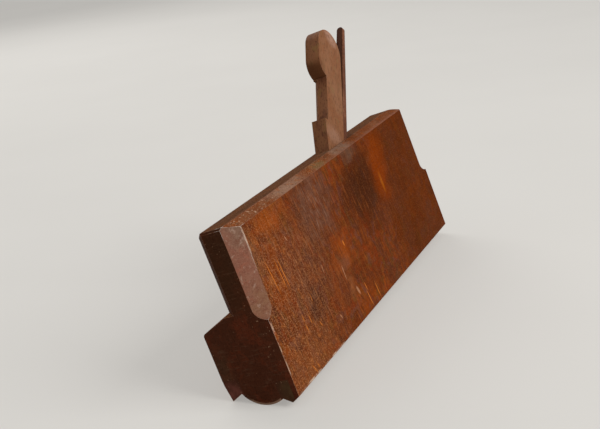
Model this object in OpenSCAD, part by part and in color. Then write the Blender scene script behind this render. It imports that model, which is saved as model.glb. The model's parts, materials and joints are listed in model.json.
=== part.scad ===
// A wooden moulding plane: a beech stock with a moulded sole, boxwood slips let
// into the lip and the fence, a laid-steel iron bedded on a slope, and the wedge
// that locks it. It stands as it does on a bench, leaning over on its lip and round.
// X runs along the stock towards the toe, Y towards the blind side, Z is up.

/* [Stock] */
// Length of the stock from heel to toe
stock_len = 241.3; // [200:0.1:280]
// Height of the blind side, from its lower corner to the top
stock_h = 84.4; // [76:0.1:96]
// Width of the body below the shoulder
body_w = 36.4; // [34:0.1:44]
// Width of the grip above the shoulder
grip_w = 22.9; // [20:0.1:26]
// Height of the shoulder's outer corner
shoulder_z = 38.2; // [36:0.1:44]
// Slope of the shoulder, in degrees
shoulder_slope = 21; // [8:0.5:30]
// Radius on the shoulder's outer edge
shoulder_r = 2; // [0.5:0.1:4]

/* [Edges] */
// Width of the long top chamfers, across the top
top_chamfer_in = 5.5; // [2:0.1:6]
// Depth of the long top chamfers, down the sides
top_chamfer_down = 3; // [1:0.1:6]
// Length of the upright end chamfers, along the stock
end_chamfer_len = 7.1; // [4:0.1:10]
// Width of the upright end chamfers, across the end
end_chamfer_in = 6.3; // [4:0.1:8]
// Radius of the gouge that stops the upright chamfers
gouge_r = 6; // [5:0.1:12]
// Height at which the blind side's chamfers stop
stop_z = 38.6; // [25:0.1:50]
// Height above the shoulder at which the stepped side's chamfers stop
step_stop = 0.4; // [0.2:0.1:4]
// Small chamfer along the top of the toe
toe_edge = 1; // [0.5:0.1:3]
// Radius over the top of the heel
heel_r = 15; // [4:0.5:18]

/* [Sole] */
// Radius of the sole's round
round_r = 15.3; // [14.5:0.1:16.5]
// Distance of the round's centre from the blind side
round_y = 15.6; // [15:0.1:16.5]
// Drop of the round below the blind side's lower corner
round_drop = 1.4; // [0.5:0.1:2.5]
// Angle on the round from its lowest line to the quirk, in degrees
quirk_angle = 27.2; // [22:0.1:32]
// Angle on the round from its lowest line to the notch beside the lip, in degrees
notch_angle = 60.4; // [50:0.1:66]
// Distance of the fence's lowest edge from the blind side
fence_y = 4.4; // [3:0.1:5.5]
// Drop of the fence below the blind side's lower corner
fence_drop = 2.4; // [1.5:0.1:3.5]
// Distance of the lip's tip from the stepped side
lip_in = 1.4; // [0.5:0.1:3]
// Height of the lip's tip
lip_z = 3.4; // [2:0.1:4.5]
// Height at which the lip's outer face leaves the stepped side
lip_side_z = 12; // [9:0.1:13]

/* [Boxing] */
// Height of the top of the lip's boxing
lip_box_z = 14; // [13.2:0.1:18]
// Reach of the boxing past the notch and the quirk, into the round
box_over = 1; // [0.5:0.1:2]
// Width of the fence's boxing
fence_box_w = 7; // [5:0.1:8]
// Height of the top of the fence's boxing
fence_box_z = 9; // [5:0.1:14]

/* [Bed and mortise] */
// Distance of the bed from the toe, level with the blind side's lower corner
bed_from_toe = 89.8; // [75:0.1:110]
// Pitch of the bed, in degrees
pitch = 50; // [45:0.5:55]
// Distance of the mortise from the blind side
mortise_y = 6.2; // [5:0.1:7.2]
// Width of the mortise
mortise_w = 9.1; // [8.7:0.1:11]
// Gap of the mouth in front of the iron
mouth_gap = 2.5; // [1.5:0.1:4]
// Angle between the bed and the front of the throat, in degrees
throat_angle = 28; // [24:0.5:32]
// Radius of the eye at the top of the escapement
eye_r = 9; // [7:0.1:10]

/* [Iron] */
// Length of the iron along the bed, above the blind side's lower corner
iron_len = 187.3; // [170:0.1:205]
// Thickness of the iron
iron_t = 4.8; // [3:0.1:5.5]
// Width of the tang where it meets the blade
tang_w = 7.6; // [6:0.1:7.9]
// Width of the tang at its top
tang_top_w = 4; // [3:0.1:6]
// Thickness of the tang at its top
tang_top_t = 3; // [2:0.1:4]
// Height above the stock's top at which the tang begins to lean back, along the bed
tang_bend = 3; // [2:0.1:12]
// Distance that the tang's top leans back
tang_back = 3; // [0:0.1:4]
// Height of the blade's outer corner along the bed
blade_h = 28; // [25:0.1:31]
// Rise of the blade's shoulder from its outer corner to the tang
blade_rise = 12; // [5:0.1:16]
// Distance of the blade's outer edge from the stepped side
blade_in = 0.3; // [0.1:0.1:1.5]
// Bevel ground on the blade, in degrees
bevel = 30; // [25:0.5:40]
// Thickness of the steel facing
facing_t = 1.2; // [0.8:0.1:1.6]
// Height of the steel facing along the bed
facing_h = 22; // [16:0.1:24]
// Room above the blade, for drawing the iron up
iron_lift = 11; // [10.5:0.1:13]

/* [Wedge] */
// Thickness of the wedge at the step above the stock
wedge_t = 20.4; // [18:0.1:24]
// Taper of the wedge, in degrees
wedge_taper = 9; // [7:0.5:9.5]
// Distance of the step above the stock's top, along the bed
step_up = 0.6; // [0:0.1:8]
// Depth of the neck behind the step
neck_in = 3; // [1.5:0.1:5]
// Length of the neck, from the step to the nose
neck_len = 29; // [22:0.1:36]
// Width of the flat on the neck's front corner, along the stepped side
neck_flat = 2.5; // [1:0.1:4]
// Distance of the flat's ends from the step and the nose
neck_stop = 0.6; // [0.3:0.1:4]
// Thickness of the head
head_t = 25.2; // [22:0.1:30]
// Radius of the nose under the head
nose_r = 9; // [5:0.1:11]
// Straight length of the head's front, above the nose
head_len = 11; // [4:0.1:18]
// Height of the wedge's lower tip along the bed
tip_t = 14; // [10:0.1:20]
// Slant of the wedge's lower end
tip_slant = 6; // [2:0.1:10]

/* [Fit] */
// Gap between the bed, the iron, the wedge and its abutment
seat_gap = 0.1; // [0.05:0.01:0.2]
// Gap on each side of the wedge in its mortise
side_gap = 0.1; // [0.05:0.01:0.2]
// Gap on each side of the tang's blind edge in the mortise
tang_gap = 0.6; // [0.3:0.1:0.8]

/* [Hidden] */
$fn = 96;
// Reach of a cutting tool beyond the surface that it cuts
past = 12;
// Depth of a straight line's end inside the round that it blends into
sink = 0.002;
// Chords that follow the round along the ground edge of the blade
edge_steps = 24;

// The section across the stock: Y from the blind side, Z from its lower corner
round_z = round_r - round_drop;
function round_at(y) = round_z - sqrt(round_r * round_r - (y - round_y) * (y - round_y));
quirk_y = round_y - round_r * sin(quirk_angle);
notch_y = round_y + round_r * sin(notch_angle);
lip_y = body_w - lip_in;
shoulder_in_z = shoulder_z + (body_w - grip_w) * tan(shoulder_slope);
edge_y = body_w - shoulder_r;
edge_z = shoulder_z + shoulder_r * tan(shoulder_slope) - shoulder_r / cos(shoulder_slope);
lip_tip = [-lip_y, lip_z];
fence_edge = [-fence_y, -fence_drop];
// A point on the line from p to q, carried on into the round behind q
function into_round(p, q) = q + box_over * (q - p) / norm(q - p);

// The plane leans until its lip's tip and its round stand on one level
to_round = [lip_y - round_y, round_z - lip_z];
lean = asin(round_r / norm(to_round)) - atan2(to_round.y, to_round.x);
low_z = lip_z * cos(lean) - lip_y * sin(lean);

// The bed: a frame with X square to it, towards the toe, and Z up along it
bed_x = stock_len / 2 - bed_from_toe;
top_t = stock_h / sin(pitch);
wedge_back = iron_t + 2 * seat_gap;
step_t = top_t + step_up;
nose_t = step_t + neck_len + nose_r;
dome_t = nose_t + head_len;
head_front = wedge_back + head_t;
dome_r = head_t / 2;
function wedge_front(t) = wedge_back + wedge_t - (step_t - t) * tan(wedge_taper);
neck_n = wedge_front(step_t) - neck_in;

// The iron's edges across the stock
iron_y = mortise_y + tang_gap;
blade_y = body_w - blade_in;
mouth_y = iron_y - side_gap;
wedge_y = mortise_y + side_gap;
wedge_w = mortise_w - 2 * side_gap;

// How far off the bed the steel facing begins
facing_n = seat_gap + iron_t - facing_t;

// The head's dome reaches furthest to the left of the leaning plane
dome_top = dome_t * sin(pitch) + (wedge_back + dome_r) * cos(pitch) + dome_r;
mid_y = -((wedge_y + wedge_w) * cos(lean) + dome_top * sin(lean)) / 2;

module stand() {
    translate([0, -mid_y, -low_z]) rotate([lean, 0, 0]) children();
}

module on_bed() {
    translate([bed_x, 0, 0]) rotate([0, pitch - 90, 0]) children();
}

// Extrudes a section drawn in Y and Z along X, from x0 to x1
module along_x(x0, x1) {
    translate([x0, 0, 0]) rotate([90, 0, 90]) linear_extrude(x1 - x0) children();
}

// Extrudes a profile drawn in X and Z across the stock, from y0 to y1 off the blind side
module across(y0, y1) {
    translate([0, -y0, 0]) rotate([90, 0, 0]) linear_extrude(y1 - y0) children();
}

module section() {
    sunk_r = shoulder_r - sink;
    polygon([
        [0, 0],
        [0, stock_h - top_chamfer_down],
        [-top_chamfer_in, stock_h],
        [top_chamfer_in - grip_w, stock_h],
        [-grip_w, stock_h - top_chamfer_down],
        [-grip_w, shoulder_in_z],
        [-edge_y - sunk_r * sin(shoulder_slope), edge_z + sunk_r * cos(shoulder_slope)],
        [-edge_y - sunk_r, edge_z],
        [-body_w, lip_side_z],
        lip_tip,
        into_round(lip_tip, [-notch_y, round_at(notch_y)]),
        into_round(fence_edge, [-quirk_y, round_at(quirk_y)]),
        fence_edge,
    ]);
    translate([-round_y, round_z]) circle(round_r);
    translate([-edge_y, edge_z]) circle(shoulder_r);
}

// The parts of the section that are boxwood
module lip_box_outline() {
    inner_y = notch_y - box_over;
    translate([-body_w - past, -past]) square([body_w + past - inner_y, lip_box_z + past]);
}

module fence_box_outline() {
    translate([-quirk_y - box_over, -past]) square([fence_box_w, fence_box_z + past]);
}

// Cuts a flat chamfer down an upright corner. It stops square at height z, or is run out
// there with a gouge. The tool's X is square to the chamfer, outwards from it.
module stopped_chamfer(z, gouged) {
    depth = end_chamfer_len * end_chamfer_in / norm([end_chamfer_len, end_chamfer_in]);
    gouge_up = sqrt(gouge_r * gouge_r - pow(gouge_r - min(depth, gouge_r), 2));
    start = gouged ? z + gouge_up : z;
    translate([-depth, 0, 0]) rotate([90, 0, 0])
        linear_extrude(6 * depth, center = true) {
            translate([sink, start]) square([3 * depth, stock_h]);
            if (gouged) translate([gouge_r, start]) circle(gouge_r);
        }
}

module end_chamfers() {
    turn = atan2(end_chamfer_len, end_chamfer_in);
    for (end = [1, -1]) {
        translate([end * stock_len / 2, 0, 0])
            rotate([0, 0, 90 - end * (90 - turn)]) stopped_chamfer(stop_z, true);
        translate([end * stock_len / 2, -grip_w, 0])
            rotate([0, 0, -90 + end * (90 - turn)]) stopped_chamfer(shoulder_in_z + step_stop, false);
    }
}

module heel_round() {
    translate([heel_r - stock_len / 2, 0, stock_h - heel_r]) across(-past, body_w + past)
        mirror([1, 0]) round_waste(heel_r, [heel_r + past, heel_r + past]);
}

module toe_chamfer() {
    translate([stock_len / 2, 0, stock_h]) across(-past, body_w + past)
        polygon([[-toe_edge - past, past], [past, -toe_edge - past], [past, past]]);
}

// The mortise for the tang and the wedge, open at the top
module mortise() {
    low = tip_t / 2;
    high = top_t + past;
    abut = seat_gap / cos(wedge_taper);
    on_bed() across(mortise_y, mortise_y + mortise_w)
        polygon([[0, low], [0, high], [wedge_front(high) + abut, high], [wedge_front(low) + abut, low]]);
}

// The slot that the blade lies in, open at the sole and at the stepped side
module blade_slot() {
    rise = blade_rise / (blade_y - iron_y - tang_w);
    outer = body_w + past;
    inner_t = blade_h + blade_rise + iron_lift;
    on_bed() along_x(0, wedge_back)
        polygon([
            [-mouth_y, -past],
            [-mouth_y, inner_t],
            [-iron_y - tang_w, inner_t],
            [-outer, inner_t - (outer - iron_y - tang_w) * rise],
            [-outer, -past],
        ]);
}

// The throat in front of the blade: it widens from the mouth to a round eye.
// Its back lies inside the slot of the blade.
module escapement() {
    back_n = wedge_back / 2;
    mouth_n = wedge_back + mouth_gap;
    apex_t = (back_n - mouth_n) / tan(throat_angle);
    reach = eye_r / tan(throat_angle / 2);
    eye = [back_n + eye_r, apex_t + reach];
    square_to_front = [cos(throat_angle), -sin(throat_angle)];
    on_bed() across(mouth_y, body_w + past) {
        polygon([
            [back_n, -past],
            [back_n + sink, eye.y],
            eye,
            eye + (eye_r - sink) * square_to_front,
            [max(back_n, mouth_n - past * tan(throat_angle)), -past],
        ]);
        translate(eye) circle(eye_r);
    }
}

module throat() {
    blade_slot();
    escapement();
}

module stock() {
    color("#8a4a22") stand() difference() {
        along_x(-stock_len / 2, stock_len / 2) difference() {
            section();
            lip_box_outline();
            fence_box_outline();
        }
        end_chamfers();
        heel_round();
        toe_chamfer();
        mortise();
        throat();
    }
}

// A slip of boxwood that fills its groove in front of the iron or behind it, and carries on
// the sole's profile. The two slips of a groove meet on a slope, in line with the iron.
module slip(in_front) {
    joint_n = wedge_back / 2;
    away_n = in_front ? joint_n - 2 * stock_len : joint_n;
    color("#a9763a") stand() difference() {
        along_x(-stock_len / 2, stock_len / 2) intersection() {
            section();
            children();
        }
        throat();
        on_bed() translate([away_n, -body_w - past, -stock_len])
            cube([2 * stock_len, body_w + 2 * past, 2 * stock_len]);
    }
}

module lip_boxing_front() {
    slip(true) lip_box_outline();
}

module lip_boxing_rear() {
    slip(false) lip_box_outline();
}

module fence_boxing_front() {
    slip(true) fence_box_outline();
}

module fence_boxing_rear() {
    slip(false) fence_box_outline();
}

// What is cut away to round off a corner: a block of the given size less a round of radius r
module round_waste(r, size) {
    difference() {
        square(size);
        circle(r);
    }
}

// The wedge from the side: a long taper, a step, a neck, and a head with a round nose and top
module wedge_profile() {
    dome_n = wedge_back + dome_r;
    difference() {
        polygon([
            [wedge_back, tip_t],
            [wedge_back, dome_t + dome_r],
            [head_front, dome_t + dome_r],
            [head_front, nose_t - nose_r],
            [neck_n, nose_t - nose_r],
            [neck_n, step_t],
            [wedge_front(step_t), step_t],
            [wedge_front(tip_t + tip_slant), tip_t + tip_slant],
        ]);
        for (side = [0, 1])
            translate([dome_n, dome_t]) mirror([side, 0])
                round_waste(dome_r, [dome_r + past, dome_r + past]);
        translate([head_front - nose_r, nose_t]) mirror([0, 1])
            round_waste(nose_r, [nose_r + past, nose_r]);
    }
}

// Cuts the flat on the neck's front corner, on the stepped side
module neck_corner() {
    translate([neck_n, -wedge_y - wedge_w, step_t + neck_stop])
        linear_extrude(neck_len - 2 * neck_stop)
            polygon([[-neck_flat - past, -past], [past, neck_flat + past], [past, -past]]);
}

module wedge() {
    color("#a8714a") stand() on_bed() difference() {
        across(wedge_y, wedge_y + wedge_w) wedge_profile();
        neck_corner();
    }
}

// The iron's outline on the bed: a wide blade and a tang that narrows to its top
module iron_outline() {
    tip_r = tang_top_w / 2;
    polygon([
        [-iron_y, -past],
        [-iron_y, iron_len - tip_r],
        [-iron_y - tang_top_w, iron_len - tip_r],
        [-iron_y - tang_w, blade_h + blade_rise],
        [-blade_y, blade_h],
        [-blade_y, -past],
    ]);
    translate([-iron_y - tip_r, iron_len - tip_r]) circle(tip_r);
}

// The iron from the side: flat on the bed, then leaning back and thinner above the stock
module iron_profile() {
    bend_t = top_t + tang_bend;
    high = iron_len + past;
    k = (high - bend_t) / (iron_len - bend_t);
    thin = k * (iron_t - tang_top_t);
    polygon([
        [seat_gap, -past],
        [seat_gap, bend_t],
        [seat_gap - k * tang_back, high],
        [seat_gap - k * tang_back + iron_t - thin, high],
        [seat_gap + iron_t, bend_t],
        [seat_gap + iron_t, -past],
    ]);
}

// The sole's profile from the blade's inner to its outer edge, with heights times k
function sole_line(k) = concat(
    [[-fence_y, -fence_drop * k]],
    [for (i = [0 : edge_steps])
        let (y = quirk_y + (notch_y - quirk_y) * i / edge_steps) [-y, round_at(y) * k]],
    [[-lip_y, lip_z * k], [-body_w, lip_side_z * k]]
);

// Everything above the ground bevel, whose edge follows the sole on the blade's face
module above_bevel() {
    face = iron_t + seat_gap;
    squash = sin(bevel) / sin(pitch);
    edge_x = bed_x + face / sin(pitch);
    high = iron_len * 2;
    translate([edge_x, 0, 0]) rotate([0, pitch - bevel, 0])
        along_x(-high, high)
            polygon(concat(sole_line(squash), [[-body_w, high], [-fence_y, high]]));
}

module iron_layer(n0, n1, t_max) {
    intersection() {
        on_bed() along_x(n0, n1) intersection() {
            iron_outline();
            translate([-body_w, -past]) square([body_w, t_max + past]);
        }
        above_bevel();
    }
}

module iron() {
    color("#4a3a30") stand() difference() {
        intersection() {
            iron_layer(-past, past, iron_len);
            on_bed() across(0, body_w) iron_profile();
        }
        on_bed() along_x(facing_n, facing_n + past)
            translate([-body_w - past, -past]) square([body_w + 2 * past, facing_h + past]);
    }
}

module iron_steel_facing() {
    color("#8c8a86") stand() iron_layer(facing_n, seat_gap + iron_t, facing_h);
}

stock();
wedge();
iron();
iron_steel_facing();
lip_boxing_front();
lip_boxing_rear();
fence_boxing_front();
fence_boxing_rear();
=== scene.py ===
"""An old wooden moulding plane on a pale floor, seen over its toe and blind side.

Each piece is its CAD solid with worn arrises. The grain, stains and scratches are materials.
Lengths are metres in the scene, and millimetres in the patterns of the materials.
"""
import json
from math import atan2, cos, hypot, radians, sin
from types import SimpleNamespace

import bmesh
import bpy
import numpy as np
from mathutils import Matrix, Vector
from mathutils.bvhtree import BVHTree


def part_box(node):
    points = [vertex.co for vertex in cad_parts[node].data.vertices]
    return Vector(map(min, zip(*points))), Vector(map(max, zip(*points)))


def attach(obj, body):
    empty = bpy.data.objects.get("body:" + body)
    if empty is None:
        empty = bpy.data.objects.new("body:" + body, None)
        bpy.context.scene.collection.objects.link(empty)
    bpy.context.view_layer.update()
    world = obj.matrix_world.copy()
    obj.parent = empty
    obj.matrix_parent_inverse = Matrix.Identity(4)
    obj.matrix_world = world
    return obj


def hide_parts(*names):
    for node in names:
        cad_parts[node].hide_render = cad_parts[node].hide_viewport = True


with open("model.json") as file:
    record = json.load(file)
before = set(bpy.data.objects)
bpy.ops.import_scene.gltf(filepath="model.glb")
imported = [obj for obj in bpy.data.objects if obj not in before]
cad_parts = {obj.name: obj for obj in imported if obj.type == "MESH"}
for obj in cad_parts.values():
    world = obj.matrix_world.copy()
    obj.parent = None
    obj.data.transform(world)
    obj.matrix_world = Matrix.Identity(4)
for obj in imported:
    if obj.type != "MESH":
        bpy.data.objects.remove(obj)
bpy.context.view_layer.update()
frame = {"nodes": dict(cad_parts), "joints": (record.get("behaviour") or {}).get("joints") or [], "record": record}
nodes = frame["nodes"]
mounts = {m["name"]: m for m in frame["record"]["mounts"]}
slides = {j["name"]: j for j in frame["joints"]}

MM = 0.001

# The photograph's frame and the camera that fits the plane's straight edges in it
PHOTO_WIDTH_PX = 600
FOCAL_PX = 1030
SENSOR_MM = 36.0
CAMERA_PLACE = Vector((0.4957, 0.2180, 0.2203))
CAMERA_LOOK = Vector((-0.8625, -0.4127, -0.2930))
CAMERA_ROLL_DEG = -7.15
CAMERA_CLIP = 0.01

# Light and floor: each lamp's name, place, width and power, and the level of the light all round
LAMPS = [
    ("key", (0.1, 1.3, 1.1), 1.0, 19),
    ("fill", (-0.9, -1.2, 1.2), 1.4, 14),
]
LAMP_AIM = Vector((0, 0, 0.06))
AMBIENT_LEVEL = 0.35
BACKDROP_LEVEL = 0.8
PAPER = "#d9d6d0"
PAPER_BACKLIT = 0.45
FLOOR_REACH = 6.0
FLOOR_DROP = 0.1 * MM

# The stock's own frame: along the stock, in from the blind side, and up from its lower corner
BLIND_MOUNT_HEIGHT = 45 * MM
BED_FROM_TOE = 89.8 * MM
blind_out = Vector(mounts["blind_side"]["axis"])
lean = atan2(blind_out.z, blind_out.y)
blind_up = Vector((0, -sin(lean), cos(lean)))
blind_corner = Vector(mounts["blind_side"]["pos_m"]) - BLIND_MOUNT_HEIGHT * blind_up
bed_up = Vector(slides["wedge_slide"]["axis"])
bed_turn = -atan2(-bed_up.x, bed_up.dot(blind_up))
bed_foot_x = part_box("stock")[1].x - BED_FROM_TOE

# Radii of the arrises, worn by hands and by use
STOCK_ARRIS = 0.45 * MM
WEDGE_ARRIS = 0.9 * MM
IRON_ARRIS = 0.25 * MM
STEEL_ARRIS = IRON_ARRIS / 2
BOXING_ARRIS = 0.3 * MM
ARRIS_SEGMENTS = 3
SHARP_ANGLE = radians(20)
FLAT_ANGLE = radians(0.5)
MERGE_DISTANCE = 0.002 * MM
# Two pieces closer than this are fitted together
FITTED_GAP = 0.03 * MM

# Marks on the blind side, in millimetres: from and to, along the stock and up it, and their width.
# Scratches show fresh orange wood, worn edges are bare and pale, partly a painted highlight along the bottom edge,
# and rubs are dull.
SCRATCHES = [
    ((105.5, 62.8), (102.4, 42.5), 0.8),
    ((97.3, 59.7), (95.4, 42.6), 0.7),
    ((94.7, 60.2), (92.4, 40.8), 0.8),
    ((92.1, 28.7), (91.8, 23.7), 0.6),
    ((86.4, 25.7), (86.0, 20.9), 0.8),
    ((92.1, 23.5), (91.5, 19.5), 0.9),
    ((78.8, 19.1), (77.4, 15.7), 0.8),
    ((78.2, 33.3), (77.8, 28.7), 0.6),
    ((25.9, 42.4), (25.1, 38.7), 1.6),
    ((20.2, 11.7), (18.0, 0.7), 1.0),
    ((7.4, 11.7), (6.2, 1.0), 1.0),
    ((19.5, 15.5), (18.4, 10.3), 0.9),
    ((100.2, 6.1), (97.4, 0.5), 0.8),
    ((95.0, 4.3), (94.3, 1.8), 0.6),
]
WORN_AND_HIGHLIGHTED_EDGES = [
    ((112.9, 83.0), (112.9, 66.0), 1.0),
    ((119.8, 39.0), (119.8, 30.0), 1.4),
    ((120.2, 30.0), (120.2, 8.0), 0.8),
    # Along the bottom edge: worn, and partly a painted highlight
    ((119.5, 0.5), (88.0, 0.5), 1.2),
    ((90.0, 0.4), (52.0, 0.4), 0.9),
]
RUBS = [
    ((57.6, 13.4), (55.7, 10.3), 1.0),
    ((37.0, 32.4), (36.7, 23.1), 0.9),
    ((29.8, 17.4), (27.7, 11.9), 2.8),
    ((56.6, 40.6), (57.0, 35.5), 0.8),
    ((80.5, 64.7), (79.2, 61.6), 1.0),
    ((36.4, 31.6), (36.9, 27.1), 0.7),
]
# A mark's half length as a share of the way from its one end to its other, how deep into the wood
# it goes, in millimetres, and the share of it that shows in full
MARK_REACH = 0.6
MARK_DEPTH = 2
MARK_CORE = 0.4

# The sole's round on the toe, in millimetres: its middle, and how far out its rim starts, worn and partly a
# painted highlight
ROUND_MIDDLE = (120, -15.6, 13.9)
ROUND_RIM = 14.0

# The Mix node's sockets for colours, by place, because those for numbers have the same names
MIX_SHARE, MIX_UNDER, MIX_OVER, MIX_RESULT = 0, 6, 7, 2


def linear(hex_colour):
    """The linear colour, with alpha, of an sRGB hex value."""
    srgb = [int(hex_colour[i : i + 2], 16) / 255 for i in (1, 3, 5)]
    return [c / 12.92 if c <= 0.04045 else ((c + 0.055) / 1.055) ** 2.4 for c in srgb] + [1.0]


def node(tree, kind, inputs=(), **settings):
    """Add a node, set its properties, and set or link its inputs, given by name or by place."""
    made = tree.nodes.new(kind)
    for name, value in settings.items():
        setattr(made, name, value)
    for key, value in dict(inputs).items():
        socket = made.inputs[key]
        if isinstance(value, bpy.types.NodeSocket):
            tree.links.new(value, socket)
        elif isinstance(value, str):
            socket.default_value = linear(value)
        else:
            socket.default_value = value
    return made


def new_material(name):
    """A material with a Principled shader and nothing else: itself, its tree and the shader."""
    material = bpy.data.materials.new(name)
    material.use_nodes = True
    tree = material.node_tree
    tree.nodes.clear()
    shader = node(tree, "ShaderNodeBsdfPrincipled")
    node(tree, "ShaderNodeOutputMaterial", {"Surface": shader.outputs[0]})
    return material, tree, shader


def stock_place(tree):
    """Where a point lies in the stock's own frame, in millimetres."""
    coordinates = node(tree, "ShaderNodeTexCoord")
    placed = node(tree, "ShaderNodeMapping", {
        "Vector": coordinates.outputs["Object"],
        "Location": blind_corner,
        "Rotation": (lean, 0, 0),
        "Scale": (MM, MM, MM),
    }, vector_type="TEXTURE")
    return placed.outputs[0]


def bed_place(tree):
    """Where a point lies on the bed, in millimetres: off the bed, across it, and up along it."""
    placed = node(tree, "ShaderNodeMapping", {
        "Vector": stock_place(tree),
        "Location": (bed_foot_x / MM, 0, 0),
        "Rotation": (0, bed_turn, 0),
    }, vector_type="TEXTURE")
    return placed.outputs[0]


def ragged(tree, place, size_mm, shift_mm):
    """The place shifted about by a noise, so that what is laid out on it gets ragged edges."""
    noise = node(tree, "ShaderNodeTexNoise", {
        "Vector": place, "Scale": 1 / size_mm, "Detail": 4.0,
    })
    shift = node(tree, "ShaderNodeVectorMath", {
        0: noise.outputs["Color"], 1: (0.5, 0.5, 0.5),
    }, operation="SUBTRACT")
    shifted = node(tree, "ShaderNodeVectorMath", {
        0: shift.outputs[0], 1: (2 * shift_mm,) * 3, 2: place,
    }, operation="MULTIPLY_ADD")
    return shifted.outputs[0]


def facing(tree, *turns):
    """The way that a point's surface faces, after turns that take it into a piece's own frame."""
    way = node(tree, "ShaderNodeTexCoord").outputs["Normal"]
    for turn in turns:
        turned = node(tree, "ShaderNodeMapping", {
            "Vector": way, "Rotation": turn,
        }, vector_type="VECTOR")
        way = turned.outputs[0]
    return way


def stock_facing(tree):
    """The way that a point's surface faces in the stock's own frame."""
    return facing(tree, (-lean, 0, 0))


def bed_facing(tree):
    """The way that a point's surface faces on the bed: off it, across it, and up along it."""
    return facing(tree, (-lean, 0, 0), (0, -bed_turn, 0))


def towards(tree, way, direction, low, high):
    """A mask of the surfaces that face a direction, shown as the cosine goes from low to high."""
    same = node(tree, "ShaderNodeVectorMath", {0: way, 1: direction}, operation="DOT_PRODUCT")
    shown = node(tree, "ShaderNodeMapRange", {
        "Value": same.outputs["Value"], "From Min": low, "From Max": high,
    }, interpolation_type="SMOOTHSTEP")
    return shown.outputs[0]


def cloud(tree, place, grain_mm, low, high, strength=1.0, seed=0.0, detail=3.0, turn=0.0):
    """A mask of soft clouds, grain_mm long on each axis, shown where a noise goes from low to high.

    The seed shifts the noise, and the turn, in degrees, leans the clouds over along the stock.
    """
    turned = node(tree, "ShaderNodeMapping", {
        "Vector": place,
        "Location": (seed, seed * 0.7, seed * 0.3),
        "Rotation": (0, radians(turn), 0),
    })
    stretched = node(tree, "ShaderNodeVectorMath", {
        0: turned.outputs[0], 1: [1 / size for size in grain_mm],
    }, operation="MULTIPLY")
    noise = node(tree, "ShaderNodeTexNoise", {
        "Vector": stretched.outputs[0], "Scale": 1.0, "Detail": detail, "Roughness": 0.6,
    })
    shown = node(tree, "ShaderNodeMapRange", {
        "Value": noise.outputs["Fac"], "From Min": low, "From Max": high, "To Max": strength,
    }, interpolation_type="SMOOTHSTEP")
    return shown.outputs[0]


def patch(tree, place, centre, reach, strength=1.0, turn=0.0, soft=0.8):
    """A patch round a centre, in millimetres. Its reach is along each axis, after a turn in degrees.

    It fades out over the soft share of its reach. A share under 0 shows what lies outside instead.
    """
    held = node(tree, "ShaderNodeMapping", {
        "Vector": place, "Location": centre, "Rotation": (0, radians(turn), 0), "Scale": reach,
    }, vector_type="TEXTURE")
    away = node(tree, "ShaderNodeVectorMath", {0: held.outputs[0]}, operation="LENGTH")
    shown = node(tree, "ShaderNodeMapRange", {
        "Value": away.outputs["Value"], "From Min": 1.0, "From Max": 1 - soft, "To Max": strength,
    }, interpolation_type="SMOOTHSTEP")
    return shown.outputs[0]


def scratches(tree, place, marks):
    """A mask of straight marks on the blind side.

    A mark is a long thin ellipse: a point is in it where its distance from the middle, measured
    in the ellipse's half lengths, is under 1. The nearest mark counts.
    """
    nearest = None
    for (x0, z0), (x1, z1), width in marks:
        held = node(tree, "ShaderNodeMapping", {
            "Vector": place,
            "Location": ((x0 + x1) / 2, 0, (z0 + z1) / 2),
            "Rotation": (0, -atan2(z1 - z0, x1 - x0), 0),
            "Scale": (hypot(x1 - x0, z1 - z0) * MARK_REACH, MARK_DEPTH, width / 2),
        }, vector_type="TEXTURE")
        length = node(tree, "ShaderNodeVectorMath", {0: held.outputs[0]}, operation="LENGTH")
        away = length.outputs["Value"]
        if nearest is not None:
            less = node(tree, "ShaderNodeMath", {0: nearest, 1: away}, operation="MINIMUM")
            away = less.outputs[0]
        nearest = away
    shown = node(tree, "ShaderNodeMapRange", {
        "Value": nearest, "From Min": 1.0, "From Max": MARK_CORE,
    }, interpolation_type="SMOOTHSTEP")
    return shown.outputs[0]


def layered(tree, base, layers):
    """A colour with others laid over it in turn, each through its masks multiplied together."""
    colour = base
    for *masks, over in layers:
        share = masks[0]
        for mask in masks[1:]:
            both = node(tree, "ShaderNodeMath", {0: share, 1: mask}, operation="MULTIPLY")
            share = both.outputs[0]
        mixed = node(tree, "ShaderNodeMix", {
            MIX_SHARE: share, MIX_UNDER: colour, MIX_OVER: over,
        }, data_type="RGBA")
        colour = mixed.outputs[MIX_RESULT]
    return colour


def finish(tree, shader, colour, rough, dull, hollows, depth_mm):
    """Link a colour, a roughness that is highest where it is dull, and hollows to the shader."""
    lowest, highest = rough
    roughness = node(tree, "ShaderNodeMapRange", {
        "Value": dull, "To Min": lowest, "To Max": highest,
    })
    bump = node(tree, "ShaderNodeBump", {
        "Height": hollows, "Strength": 1.0, "Distance": depth_mm * MM,
    }, invert=True)
    tree.links.new(colour, shader.inputs["Base Color"])
    tree.links.new(roughness.outputs[0], shader.inputs["Roughness"])
    tree.links.new(bump.outputs[0], shader.inputs["Normal"])


def beech_figure(tree):
    """What the stock's faces share: the places that patterns lie on, and masks of the figure.

    Beech's rays and pores are under 0.5 mm. They are drawn somewhat coarser, so that they show.
    """
    place = stock_place(tree)
    loose = ragged(tree, place, size_mm=12, shift_mm=10)
    return SimpleNamespace(
        place=place,
        loose=loose,
        rays=cloud(tree, place, (0.9, 0.6, 0.6), 0.50, 0.66, seed=19, detail=2),
        pores=cloud(tree, place, (1.2, 0.8, 0.8), 0.52, 0.66, seed=5, detail=2),
        grain=cloud(tree, place, (55, 1.8, 1.8), 0.44, 0.66, seed=3),
        hairs=cloud(tree, place, (0.9, 7, 7), 0.54, 0.66, seed=37, turn=-8),
        mottle=cloud(tree, loose, (6, 6, 8), 0.38, 0.62, seed=57),
        cuts=scratches(tree, place, SCRATCHES),
    )


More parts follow.
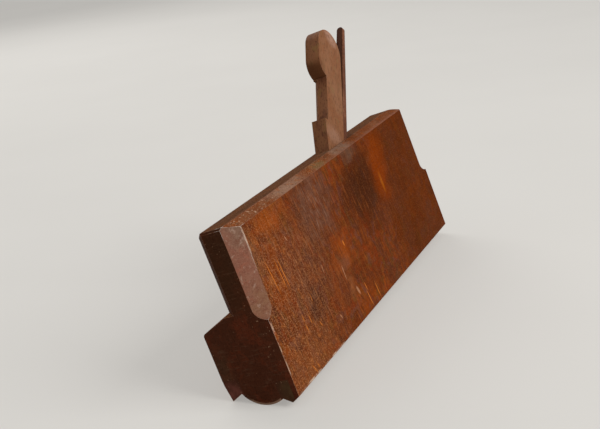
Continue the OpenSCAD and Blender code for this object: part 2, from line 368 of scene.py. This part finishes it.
def blind_side(tree, wood):
    """The flat side in view: orange brown, stained and marked, with most speckle near the toe."""
    place, loose = wood.place, wood.loose
    near_toe = patch(tree, place, (120, 0, 30), (95, 60, 90))
    most_used = patch(tree, place, (90, 0, 40), (220, 60, 120))
    return layered(tree, "#723514", [
        # Tones of the whole side, with a little red over all of them
        (cloud(tree, place, (45, 30, 30), 0.40, 0.60, seed=3), "#662f12"),
        (cloud(tree, loose, (12, 12, 16), 0.45, 0.62, 0.85, seed=11), "#8e4011"),
        (cloud(tree, loose, (13, 13, 19), 0.45, 0.63, 0.85, seed=23), "#57301f"),
        (cloud(tree, loose, (5, 5, 7), 0.50, 0.68, 0.5, seed=27), "#964b1a"),
        (cloud(tree, loose, (5, 5, 8), 0.52, 0.68, 0.5, seed=33), "#4c2614"),
        (cloud(tree, loose, (7, 7, 9), 0.52, 0.66, 0.5, seed=91), "#63451b"),
        (cloud(tree, loose, (6, 6, 9), 0.52, 0.66, 0.6, seed=95), "#84300d"),
        (cloud(tree, loose, (6, 6, 8), 0.53, 0.66, 0.6, seed=97), "#6c4338"),
        (0.18, "#5c2000"),
        # Stains on the half towards the toe; the last two are a painted sheen, pale grey reflected light
        (patch(tree, loose, (100, 0, 6), (46, 20, 22), 0.5), "#8c4f29"),
        (patch(tree, loose, (76, 0, 48), (36, 20, 30), 0.5), "#5f3828"),
        (patch(tree, loose, (46, 0, 24), (30, 20, 18), 0.4), "#6c3820"),
        (patch(tree, loose, (33, 0, 18), (7, 20, 12), 0.6, turn=8), "#8e5632"),
        (patch(tree, loose, (33, 0, 34), (9, 20, 8), 0.5), "#7c4f38"),
        (patch(tree, loose, (112, 0, 66), (9, 20, 18), 0.5), "#704c36"),
        (patch(tree, loose, (101, 0, 50), (12, 20, 22), 0.7), "#7e370d"),
        (patch(tree, loose, (75, 0, 29), (14, 20, 11), 0.85), "#42241a"),
        (patch(tree, loose, (88, 0, 77), (24, 20, 10), 0.7), "#9a470e"),
        (patch(tree, loose, (26, 0, 38), (11, 20, 12), 0.7), "#94430f"),
        # Painted sheen: a band of reflected light below the top, greyish mauve
        (patch(tree, loose, (43, 0, 66), (28, 20, 28), 0.6, soft=0.4), "#5c3321"),
        (patch(tree, loose, (42, 0, 70), (28, 20, 26), soft=0.5), wood.mottle, 0.8, "#694434"),
        # Stains on the half towards the heel, dark and amber, and a painted grey sheen at the wedge's foot
        (patch(tree, loose, (-92, 0, 42), (76, 20, 80), 0.70, soft=0.5), "#552404"),
        (patch(tree, loose, (-19, 0, 57), (42, 20, 32), 0.9), "#3a1a08"),
        (patch(tree, loose, (-51, 0, 62), (17, 20, 32), 0.9, turn=-22), "#803301"),
        (patch(tree, place, (-48.5, 0, 52), (2.2, 20, 9), 0.6), "#b2600f"),
        # Painted sheen: reflected light on the top edge at the wedge's foot
        (patch(tree, loose, (-18, 0, 80), (13, 20, 8), 0.7), "#624839"),
        # Strokes of use, leaning a little
        (cloud(tree, place, (1.4, 20, 13), 0.52, 0.68, 0.45, seed=29, turn=-7),
         most_used, "#a35a29"),
        (cloud(tree, place, (1.6, 20, 15), 0.52, 0.68, 0.45, seed=31, turn=-7),
         most_used, "#472110"),
        (cloud(tree, place, (2.6, 20, 5), 0.54, 0.68, 0.6, seed=113, detail=2, turn=-7),
         near_toe, "#a86330"),
        (cloud(tree, place, (3.2, 20, 6), 0.54, 0.68, 0.6, seed=117, detail=2, turn=-7),
         near_toe, "#52291a"),
        # Grain, pores and rays
        (wood.grain, 0.2, "#471f0a"),
        (wood.pores, 0.16, "#341809"),
        (wood.pores, near_toe, 0.22, "#32170b"),
        (wood.rays, 0.14, "#b27246"),
        (wood.rays, near_toe, 0.38, "#c48a5d"),
        # Hair scratches, rubs, worn edges with a painted highlight along the bottom, and scratches
        (patch(tree, loose, (84, 0, 44), (46, 20, 40)), wood.hairs, 0.5, "#a06d4d"),
        (patch(tree, loose, (42, 0, 66), (27, 20, 27)), wood.hairs, 0.5, "#956f5a"),
        (scratches(tree, place, RUBS), 0.75, "#b9835f"),
        (scratches(tree, place, WORN_AND_HIGHLIGHTED_EDGES), wood.mottle, 0.9, "#c9b09a"),
        (wood.cuts, 0.9, "#cb742c"),
    ])


def stepped_side(tree, wood):
    """The grip, shoulder and body on the other side: even brown, with the grain along them."""
    loose = wood.loose
    return layered(tree, "#6f3616", [
        (cloud(tree, loose, (50, 20, 14), 0.42, 0.62, seed=3), "#5c2c13"),
        (cloud(tree, loose, (24, 9, 9), 0.48, 0.66, 0.7, seed=11), "#86431a"),
        (cloud(tree, loose, (8, 6, 6), 0.52, 0.66, 0.5, seed=97), "#4f2918"),
        (patch(tree, loose, (-45, -30, 60), (60, 16, 26), 0.6), "#4a2511"),
        (patch(tree, loose, (64, -36, 20), (36, 12, 18), 0.5), "#8a481f"),
        (wood.grain, 0.55, "#4a220d"),
        (wood.pores, 0.30, "#341809"),
        (wood.rays, 0.30, "#a5673e"),
        (wood.hairs, 0.08, "#a06d4d"),
    ])


def top_chamfers(tree, wood):
    """The long chamfers of the top: warm brown with patches, the pale grey ones a painted sheen, flecked pale near
    the toe.
    """
    place, loose = wood.place, wood.loose
    return layered(tree, "#71391b", [
        (cloud(tree, loose, (12, 8, 8), 0.45, 0.62, seed=45), "#7a472c"),
        (cloud(tree, loose, (9, 6, 6), 0.50, 0.66, 0.8, seed=51), "#74370f"),
        # Painted sheen: a pale grey highlight along the top chamfer
        (patch(tree, loose, (56, -3, 83), (26, 12, 12), 0.9), "#8d6c59"),
        (patch(tree, loose, (16, -3, 83), (14, 12, 12), 0.8), "#6f5634"),
        # Painted sheen: reflected light at the wedge's foot
        (patch(tree, loose, (-17, -3, 83), (17, 12, 12), 0.9), "#876a58"),
        (patch(tree, loose, (110, -3, 83), (18, 12, 10), 0.7), "#80492a"),
        (cloud(tree, loose, (5, 4, 4), 0.52, 0.66, 0.7, seed=99), "#8f4716"),
        (cloud(tree, loose, (4, 4, 4), 0.54, 0.68, 0.6, seed=107), "#4f2b19"),
        (wood.pores, 0.5, "#43220f"),
        (wood.rays, 0.3, "#96704f"),
        (patch(tree, place, (50, -3, 83), (110, 12, 12)), wood.rays, 0.4, "#a5805f"),
        (patch(tree, place, (100, -3, 83), (60, 12, 12)),
         cloud(tree, place, (1.6, 1.6, 1.6), 0.60, 0.70, 0.8, seed=101, detail=2), "#ba977c"),
    ])


def flat_top(tree, wood):
    """The narrow flat along the top: dull brown, with a painted pale sheen at the wedge's foot."""
    loose = wood.loose
    return layered(tree, "#68422c", [
        (cloud(tree, loose, (30, 8, 8), 0.42, 0.62, seed=41), "#5f3d2b"),
        (cloud(tree, loose, (14, 6, 6), 0.52, 0.68, seed=43), "#7c4520"),
        # Painted sheen: reflected light at the wedge's foot
        (patch(tree, loose, (-14, -6, 84), (12, 10, 8), 0.8), "#83644f"),
        (wood.grain, 0.4, "#4a2a15"),
        (wood.pores, 0.4, "#3c1f10"),
        (wood.rays, 0.4, "#957052"),
    ])


def end_chamfers(tree, wood):
    """The upright chamfers at the ends of the blind side: a dusty, mottled pink brown."""
    place, loose = wood.place, wood.loose
    return layered(tree, "#875746", [
        (wood.mottle, "#8e624f"),
        (cloud(tree, loose, (5, 5, 6), 0.52, 0.68, seed=49), "#915a47"),
        (patch(tree, loose, (116, 0, 82), (14, 14, 12), 0.8), "#7c6352"),
        (patch(tree, loose, (116, 0, 46), (14, 14, 12), 0.8), "#855f46"),
        (cloud(tree, loose, (4, 4, 6), 0.50, 0.66, 0.6, seed=105), "#784b3b"),
        (cloud(tree, place, (2, 2, 2.4), 0.58, 0.70, 0.6, seed=103), "#ab8d7b"),
        (wood.pores, 0.4, "#6b4636"),
        (wood.rays, 0.2, "#a6846e"),
    ])


def end_grain(tree, wood):
    """The toe and the heel: very dark, with a pale rim on the sole's round, worn and partly a painted highlight,
    and a few specks.
    """
    place, loose = wood.place, wood.loose
    outside_round = patch(tree, place, ROUND_MIDDLE, (1000, ROUND_RIM, ROUND_RIM), soft=-0.04)
    return layered(tree, "#482618", [
        (cloud(tree, loose, (9, 9, 14), 0.45, 0.65, seed=53), "#5a2a19"),
        (cloud(tree, place, (1, 0.8, 5), 0.52, 0.72, 0.6, seed=59), "#553022"),
        (patch(tree, loose, (120, -13, 68), (20, 30, 30), 0.7), "#3d2718"),
        (patch(tree, loose, (120, -35, 18), (20, 10, 20), 0.6), "#4a3323"),
        (cloud(tree, place, (1, 5, 0.8), 0.54, 0.72, 0.5, seed=69), "#5b4030"),
        (wood.pores, 0.4, "#2c150c"),
        # Pale rim on the toe's sole round: a worn edge, brightened as a painted highlight where it faces down into
        # shade
        (outside_round, patch(tree, place, (120, -17, -1), (30, 14, 8), soft=0.5), 0.8, "#96755f"),
        (cloud(tree, loose, (14, 14, 14), 0.45, 0.60, seed=67),
         cloud(tree, place, (1, 1, 1), 0.70, 0.76, seed=61, detail=1), "#8f6d54"),
    ])


def moulded_sole(tree, wood):
    """The sole: brown, worn smooth along its run."""
    return layered(tree, "#6c3b1f", [
        (cloud(tree, wood.place, (70, 1.4, 1.4), 0.42, 0.64, seed=63), "#7f4b2a"),
        (cloud(tree, wood.loose, (25, 8, 8), 0.50, 0.68, seed=65), "#4c2814"),
    ])


def aged_beech():
    """Beech of the stock: planed, oiled, darkened and rubbed by long use.

    The eye sees an orange brown with dark and amber patches and a painted grey sheen, under a fine
    speckle of rays and pores, a few bright scratches, dusty chamfers with a painted sheen along the
    top, and very dark end grain.
    """
    material, tree, shader = new_material("aged_beech")
    wood = beech_figure(tree)
    way = stock_facing(tree)
    upward = towards(tree, way, (0, 0, 1), 0.90, 0.98)
    bevelled = top_chamfers(tree, wood)
    dusty = end_chamfers(tree, wood)
    end = end_grain(tree, wood)
    colour = layered(tree, blind_side(tree, wood), [
        (towards(tree, way, (0, -1, 0), 0.30, 0.60), stepped_side(tree, wood)),
        # Along the top and the sole
        (towards(tree, way, (0, 0.48, 0.88), 0.95, 0.99), bevelled),
        (towards(tree, way, (0, -0.48, 0.88), 0.95, 0.99), bevelled),
        (upward, flat_top(tree, wood)),
        (towards(tree, way, (0, 0, -1), 0.30, 0.60), moulded_sole(tree, wood)),
        # The upright chamfers at both ends of the blind side, and their gouged stops
        (towards(tree, way, (0.66, 0.75, 0), 0.82, 0.95), dusty),
        (towards(tree, way, (-0.66, 0.75, 0), 0.82, 0.95), dusty),
        (towards(tree, way, (0.47, 0.53, 0.71), 0.90, 0.96), dusty),
        (towards(tree, way, (-0.47, 0.53, 0.71), 0.90, 0.96), dusty),
        # The other chamfers of the toe, the rounded heel, and both ends
        (towards(tree, way, (0.66, -0.75, 0), 0.82, 0.95), end),
        (towards(tree, way, (0.71, 0, 0.71), 0.95, 0.99), end),
        (towards(tree, way, (-0.71, 0, 0.71), 0.72, 0.90), end),
        (towards(tree, way, (1, 0, 0), 0.80, 0.95), end),
        (towards(tree, way, (-1, 0, 0), 0.80, 0.95), end),
    ])
    hollows = node(tree, "ShaderNodeMath", {
        0: wood.pores, 1: wood.cuts,
    }, operation="MAXIMUM").outputs[0]
    dull = node(tree, "ShaderNodeMath", {
        0: cloud(tree, wood.loose, (16, 16, 22), 0.3, 0.7, 0.5, seed=71), 1: upward,
    }, operation="MAXIMUM").outputs[0]
    shader.inputs["Specular IOR Level"].default_value = 0.01
    finish(tree, shader, colour, rough=(0.50, 1.0), dull=dull, hollows=hollows, depth_mm=0.05)
    return material


def rubbed_beech():
    """Beech at the stock's arrises, rubbed by hands and knocked.

    The eye sees pale bare wood in places, most of all round the toe, and dark wood in others.
    On the toe's sole rim and the blind side's bottom edge the pale is partly a painted highlight.
    """
    material, tree, shader = new_material("rubbed_beech")
    place = stock_place(tree)
    chips = cloud(tree, place, (2.5, 2.5, 3.5), 0.54, 0.66, seed=79)
    colour = layered(tree, "#70402a", [
        (cloud(tree, place, (10, 10, 10), 0.45, 0.62, seed=73), "#87583f"),
        (chips, 0.8, "#a5836b"),
        (cloud(tree, place, (8, 8, 8), 0.56, 0.68, seed=83), "#4a2918"),
        (patch(tree, place, (113.5, 0, 75), (6, 6, 16), soft=0.4), "#dccdbf"),
        (patch(tree, place, (120, -6, 83), (4, 4, 5), soft=0.4), "#c9b8aa"),
        (patch(tree, place, (120.6, 0, 33), (4, 4, 8), soft=0.4), "#d2c2b4"),
        # Painted highlight on the worn rim of the toe's sole, which faces down into shade
        (patch(tree, place, (120.6, -16, 1), (4, 15, 9), 0.9, soft=0.4), "#dcc0a8"),
        (patch(tree, place, (120.6, 0, 14), (4, 4, 22), 0.8, soft=0.4), "#a98468"),
        # Pale worn bottom edge of the blind side, partly a painted highlight
        (patch(tree, place, (95, 0, 0), (45, 8, 5), 0.9, soft=0.4), "#b68a6b"),
    ])
    shader.inputs["Specular IOR Level"].default_value = 0.08
    finish(tree, shader, colour, rough=(0.5, 0.65), dull=chips, hollows=chips, depth_mm=0.08)
    return material


def wedge_beech():
    """Beech of the wedge: unoiled, dull and handled, with the grain up the wedge.

    The eye sees a pinkish tan on its sides, olive brown grime on its front, and a painted shade
    under the nose and on the faces that look down.
    """
    material, tree, shader = new_material("wedge_beech")
    place = bed_place(tree)
    loose = ragged(tree, place, size_mm=9, shift_mm=5)
    way = bed_facing(tree)
    pores = cloud(tree, place, (0.8, 0.8, 2.0), 0.54, 0.68, seed=5, detail=1)
    grain = cloud(tree, place, (1.3, 1.3, 40), 0.45, 0.66, seed=13)
    side = layered(tree, "#835336", [
        (cloud(tree, loose, (10, 10, 16), 0.42, 0.62, seed=17), "#8a5e42"),
        (cloud(tree, loose, (6, 6, 11), 0.50, 0.68, 0.7, seed=21), "#7a4e33"),
        (cloud(tree, loose, (5, 5, 8), 0.54, 0.70, 0.6, seed=25), "#7d603e"),
        (patch(tree, loose, (17, -6, 170), (10, 8, 8), 0.8), "#ad8470"),
        (patch(tree, loose, (16, -6, 103), (12, 8, 7), 0.8), "#98705a"),
        (grain, 0.4, "#92694c"),
        (pores, 0.5, "#5d3b28"),
    ])
    front = layered(tree, "#7e5135", [
        (cloud(tree, loose, (8, 6, 9), 0.45, 0.65, seed=29), "#6a402b"),
        (cloud(tree, loose, (6, 5, 8), 0.52, 0.68, 0.7, seed=31), "#7c5c34"),
        (grain, 0.4, "#82583c"),
        (pores, 0.5, "#3d2416"),
    ])
    colour = layered(tree, side, [
        (towards(tree, way, (1, 0, 0), 0.30, 0.60), front),
        # Painted shade: faces that look down the bed, under the head and the nose, darker
        (towards(tree, way, (0, 0, -1), 0.15, 0.60), "#694026"),
        # Painted shade under the nose
        (patch(tree, loose, (29, -11, 143), (8, 12, 8), 0.5), "#4a2b18"),
    ])
    shader.inputs["Specular IOR Level"].default_value = 0.04
    finish(tree, shader, colour, rough=(0.55, 0.7), dull=grain, hollows=pores, depth_mm=0.05)
    return material


def handled_beech():
    """Beech at the wedge's arrises, where fingers and mallet have rubbed it.

    The eye sees pale bare wood on brown, and a painted shade under the nose.
    """
    material, tree, shader = new_material("handled_beech")
    place = bed_place(tree)
    bare = cloud(tree, place, (5, 5, 9), 0.44, 0.60, seed=37)
    colour = layered(tree, "#6f4930", [
        (bare, "#a07b61"),
        (cloud(tree, place, (2, 2, 3), 0.56, 0.68, seed=39), "#b5937c"),
        # Painted shade under the nose
        (patch(tree, place, (30, -11, 143), (9, 12, 9), 0.8), "#452917"),
    ])
    shader.inputs["Specular IOR Level"].default_value = 0.08
    finish(tree, shader, colour, rough=(0.55, 0.7), dull=bare, hollows=bare, depth_mm=0.05)
    return material


def rusted_iron():
    """Wrought iron of the tang: forged by hand, under a thin brown skin of rust.

    The eye sees a matt brown with warmer clouds and small pits, darkest on the face, where shade is painted.
    """
    material, tree, shader = new_material("rusted_iron")
    place = bed_place(tree)
    way = bed_facing(tree)
    pits = cloud(tree, place, (0.9, 0.9, 1.2), 0.54, 0.70, seed=5)
    colour = layered(tree, "#754a36", [
        (cloud(tree, place, (6, 6, 18), 0.42, 0.62, seed=17), "#623b2a"),
        (cloud(tree, place, (3, 3, 4), 0.55, 0.70, seed=23), "#875a40"),
        # Painted shade: the face turned off the bed is darker
        (towards(tree, way, (1, 0, 0), 0.40, 0.80), "#4a2918"),
        (pits, 0.6, "#33201a"),
    ])
    shader.inputs["Specular IOR Level"].default_value = 0.05
    finish(tree, shader, colour, rough=(0.6, 0.8), dull=pits, hollows=pits, depth_mm=0.1)
    return material


def laid_steel():
    """Steel laid on the blade: ground along its length and honed, then tarnished in the air.

    The eye sees a dull grey with fine lines along it and brown stains.
    """
    material, tree, shader = new_material("laid_steel")
    place = bed_place(tree)
    lines = cloud(tree, place, (0.4, 0.4, 26), 0.40, 0.64, seed=5)
    stain = cloud(tree, place, (5, 5, 7), 0.48, 0.66, seed=9)
    colour = layered(tree, "#98948f", [(lines, "#7b7772"), (stain, "#6a5646")])
    shader.inputs["Metallic"].default_value = 0.9
    finish(tree, shader, colour, rough=(0.32, 0.55), dull=stain, hollows=lines, depth_mm=0.01)
    return material


def boxwood():
    """Boxwood of the slips: so fine that no pores show, worn smooth and toned by oil and dirt.

    The eye sees a yellow brown on the sole, and on the ends a pink tone at the lip and an olive one
    at the fence, nearly as dark as the beech round them.
    """
    material, tree, shader = new_material("boxwood")
    place = stock_place(tree)
    way = stock_facing(tree)
    grain = cloud(tree, place, (30, 1.2, 1.2), 0.42, 0.64, seed=7)
    dirt = cloud(tree, place, (4, 4, 5), 0.42, 0.62, seed=15)
    run = layered(tree, "#8a5a2c", [
        (cloud(tree, place, (25, 8, 8), 0.42, 0.62, seed=17), "#77481f"),
        (grain, "#946636"),
    ])
    end = layered(tree, "#472618", [
        (patch(tree, place, (120, -33, 5), (60, 9, 11)), "#6c3d33"),
        (patch(tree, place, (120, -4, 4), (60, 7, 9)), "#4d3621"),
        (dirt, 0.4, "#361d12"),
        (cloud(tree, place, (0.9, 0.9, 0.9), 0.70, 0.76, seed=61, detail=1), "#7d5d48"),
    ])
    colour = layered(tree, run, [
        (towards(tree, way, (1, 0, 0), 0.80, 0.95), end),
        (towards(tree, way, (-1, 0, 0), 0.80, 0.95), end),
    ])
    shader.inputs["Specular IOR Level"].default_value = 0.03
    finish(tree, shader, colour, rough=(0.42, 0.55), dull=dirt, hollows=grain, depth_mm=0.02)
    return material


def in_view(tree):
    """1 for a ray that the camera sees, straight or reflected, and 0 for one that only lights."""
    path = node(tree, "ShaderNodeLightPath")
    seen = path.outputs["Is Camera Ray"]
    for other in ("Is Glossy Ray", "Is Transmission Ray"):
        either = node(tree, "ShaderNodeMath", {
            0: seen, 1: path.outputs[other],
        }, operation="MAXIMUM")
        seen = either.outputs[0]
    return seen


def floor_paper():
    """Matt paper of the studio floor, lit in part from behind for the camera.

    The eye sees a pale grey with a faint mottle, about 300 mm across.
    """
    material, tree, shader = new_material("floor_paper")
    coordinates = node(tree, "ShaderNodeTexCoord")
    # The floor's coordinates are in metres, and so are these clouds
    mottle = cloud(tree, coordinates.outputs["Object"], (0.3, 0.3, 0.3), 0.3, 0.7)
    colour = layered(tree, PAPER, [(mottle, "#d5d2cc")])
    tree.links.new(colour, shader.inputs["Base Color"])
    shader.inputs["Roughness"].default_value = 0.9
    shader.inputs["Specular IOR Level"].default_value = 0.1
    backlit = node(tree, "ShaderNodeMath", {
        0: in_view(tree), 1: PAPER_BACKLIT,
    }, operation="MULTIPLY")
    glow = node(tree, "ShaderNodeEmission", {"Color": "#e2dfda", "Strength": 1.0})
    both = node(tree, "ShaderNodeMixShader", {
        0: backlit.outputs[0], 1: shader.outputs[0], 2: glow.outputs[0],
    })
    tree.links.new(both.outputs[0], tree.nodes["Material Output"].inputs["Surface"])
    return material


def merged(name):
    """A CAD solid's mesh with its doubles merged and its flat faces made whole."""
    shape = bmesh.new()
    shape.from_mesh(nodes[name].data)
    bmesh.ops.remove_doubles(shape, verts=shape.verts, dist=MERGE_DISTANCE)
    bmesh.ops.dissolve_limit(shape, angle_limit=FLAT_ANGLE, verts=shape.verts, edges=shape.edges)
    return shape


def mark_arrises(shape, fitted):
    """Weight a shape's sharp edges for rounding, but not those that are fitted to other pieces."""
    neighbours = []
    for other in fitted:
        neighbour = merged(other)
        neighbours.append(BVHTree.FromBMesh(neighbour))
        neighbour.free()
    weight = shape.edges.layers.float.new("bevel_weight_edge")
    for edge in shape.edges:
        start, end = (vert.co for vert in edge.verts)
        spots = (start, (start + end) / 2, end)
        joined = any(
            all(near.find_nearest(spot)[3] < FITTED_GAP for spot in spots) for near in neighbours
        )
        sharp = edge.calc_face_angle(0) > SHARP_ANGLE
        edge[weight] = float(sharp and not joined)
        edge.smooth = not (sharp and joined)


def worn_copy(name, body, slot, arris, *materials, fitted=()):
    """A CAD solid's copy with its arrises rounded off, but not where it is fitted to other pieces.

    The last of the materials goes on the rounded arrises.
    """
    shape = merged(name)
    mark_arrises(shape, fitted)
    mesh = bpy.data.meshes.new(name + "_worn")
    shape.to_mesh(mesh)
    shape.free()
    mesh.polygons.foreach_set("use_smooth", np.ones(len(mesh.polygons), bool))
    for material in materials:
        mesh.materials.append(material)
    piece = bpy.data.objects.new(name + "_worn", mesh)
    bpy.context.scene.collection.objects.link(piece)
    bevel = piece.modifiers.new("arris", "BEVEL")
    bevel.width = arris
    bevel.segments = ARRIS_SEGMENTS
    bevel.limit_method = "WEIGHT"
    bevel.harden_normals = True
    bevel.material = len(materials) - 1
    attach(piece, body)
    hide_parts(name)


def lamp(name, place, width, watts):
    """A square soft lamp at a place, aimed at the middle of the plane."""
    data = bpy.data.lights.new(name, "AREA")
    data.size = width
    data.energy = watts
    lamp_object = bpy.data.objects.new(name, data)
    lamp_object.location = place
    aim = LAMP_AIM - Vector(place)
    lamp_object.rotation_euler = aim.to_track_quat("-Z", "Y").to_euler()
    bpy.context.scene.collection.objects.link(lamp_object)


# The plane
SLIPS = [f"{groove}_boxing_{end}" for groove in ("lip", "fence") for end in ("front", "rear")]
slip_wood = boxwood()
worn_copy("stock", "stock", "stock_beech", STOCK_ARRIS, aged_beech(), rubbed_beech(), fitted=SLIPS)
worn_copy("wedge", "wedge", "wedge_beech", WEDGE_ARRIS, wedge_beech(), handled_beech())
worn_copy("iron", "iron", "wrought_iron", IRON_ARRIS, rusted_iron(), fitted=["iron_steel_facing"])
worn_copy("iron_steel_facing", "iron", "laid_steel", STEEL_ARRIS, laid_steel(), fitted=["iron"])
for slip in SLIPS:
    others = [other for other in SLIPS if other != slip]
    worn_copy(slip, "stock", "boxwood", BOXING_ARRIS, slip_wood, fitted=["stock"] + others)

# The floor
floor_mesh = bpy.data.meshes.new("floor")
corners = [
    (FLOOR_REACH * i, FLOOR_REACH * j, -FLOOR_DROP)
    for i, j in ((-1, -1), (1, -1), (1, 1), (-1, 1))
]
floor_mesh.from_pydata(corners, [], [(0, 1, 2, 3)])
floor_mesh.materials.append(floor_paper())
floor = bpy.data.objects.new("floor", floor_mesh)
bpy.context.scene.collection.objects.link(floor)

# The light
for settings in LAMPS:
    lamp(*settings)
world = bpy.data.worlds.new("studio")
world.use_nodes = True
bpy.context.scene.world = world
sky = world.node_tree
sky.nodes.clear()
ambient = node(sky, "ShaderNodeBackground", {"Color": "#ffffff", "Strength": AMBIENT_LEVEL})
backdrop = node(sky, "ShaderNodeBackground", {"Color": PAPER, "Strength": BACKDROP_LEVEL})
both = node(sky, "ShaderNodeMixShader", {
    0: in_view(sky), 1: ambient.outputs[0], 2: backdrop.outputs[0],
})
node(sky, "ShaderNodeOutputWorld", {"Surface": both.outputs[0]})

# The camera
camera_data = bpy.data.cameras.new("camera")
camera_data.sensor_width = SENSOR_MM
camera_data.lens = FOCAL_PX / PHOTO_WIDTH_PX * SENSOR_MM
camera_data.clip_start = CAMERA_CLIP
camera = bpy.data.objects.new("camera", camera_data)
upright = CAMERA_LOOK.to_track_quat("-Z", "Y").to_matrix().to_4x4()
camera.matrix_world = (
    Matrix.Translation(CAMERA_PLACE) @ upright @ Matrix.Rotation(radians(CAMERA_ROLL_DEG), 4, "Z")
)
bpy.context.scene.collection.objects.link(camera)
bpy.context.scene.camera = camera
bpy.context.scene.view_settings.view_transform = "Standard"
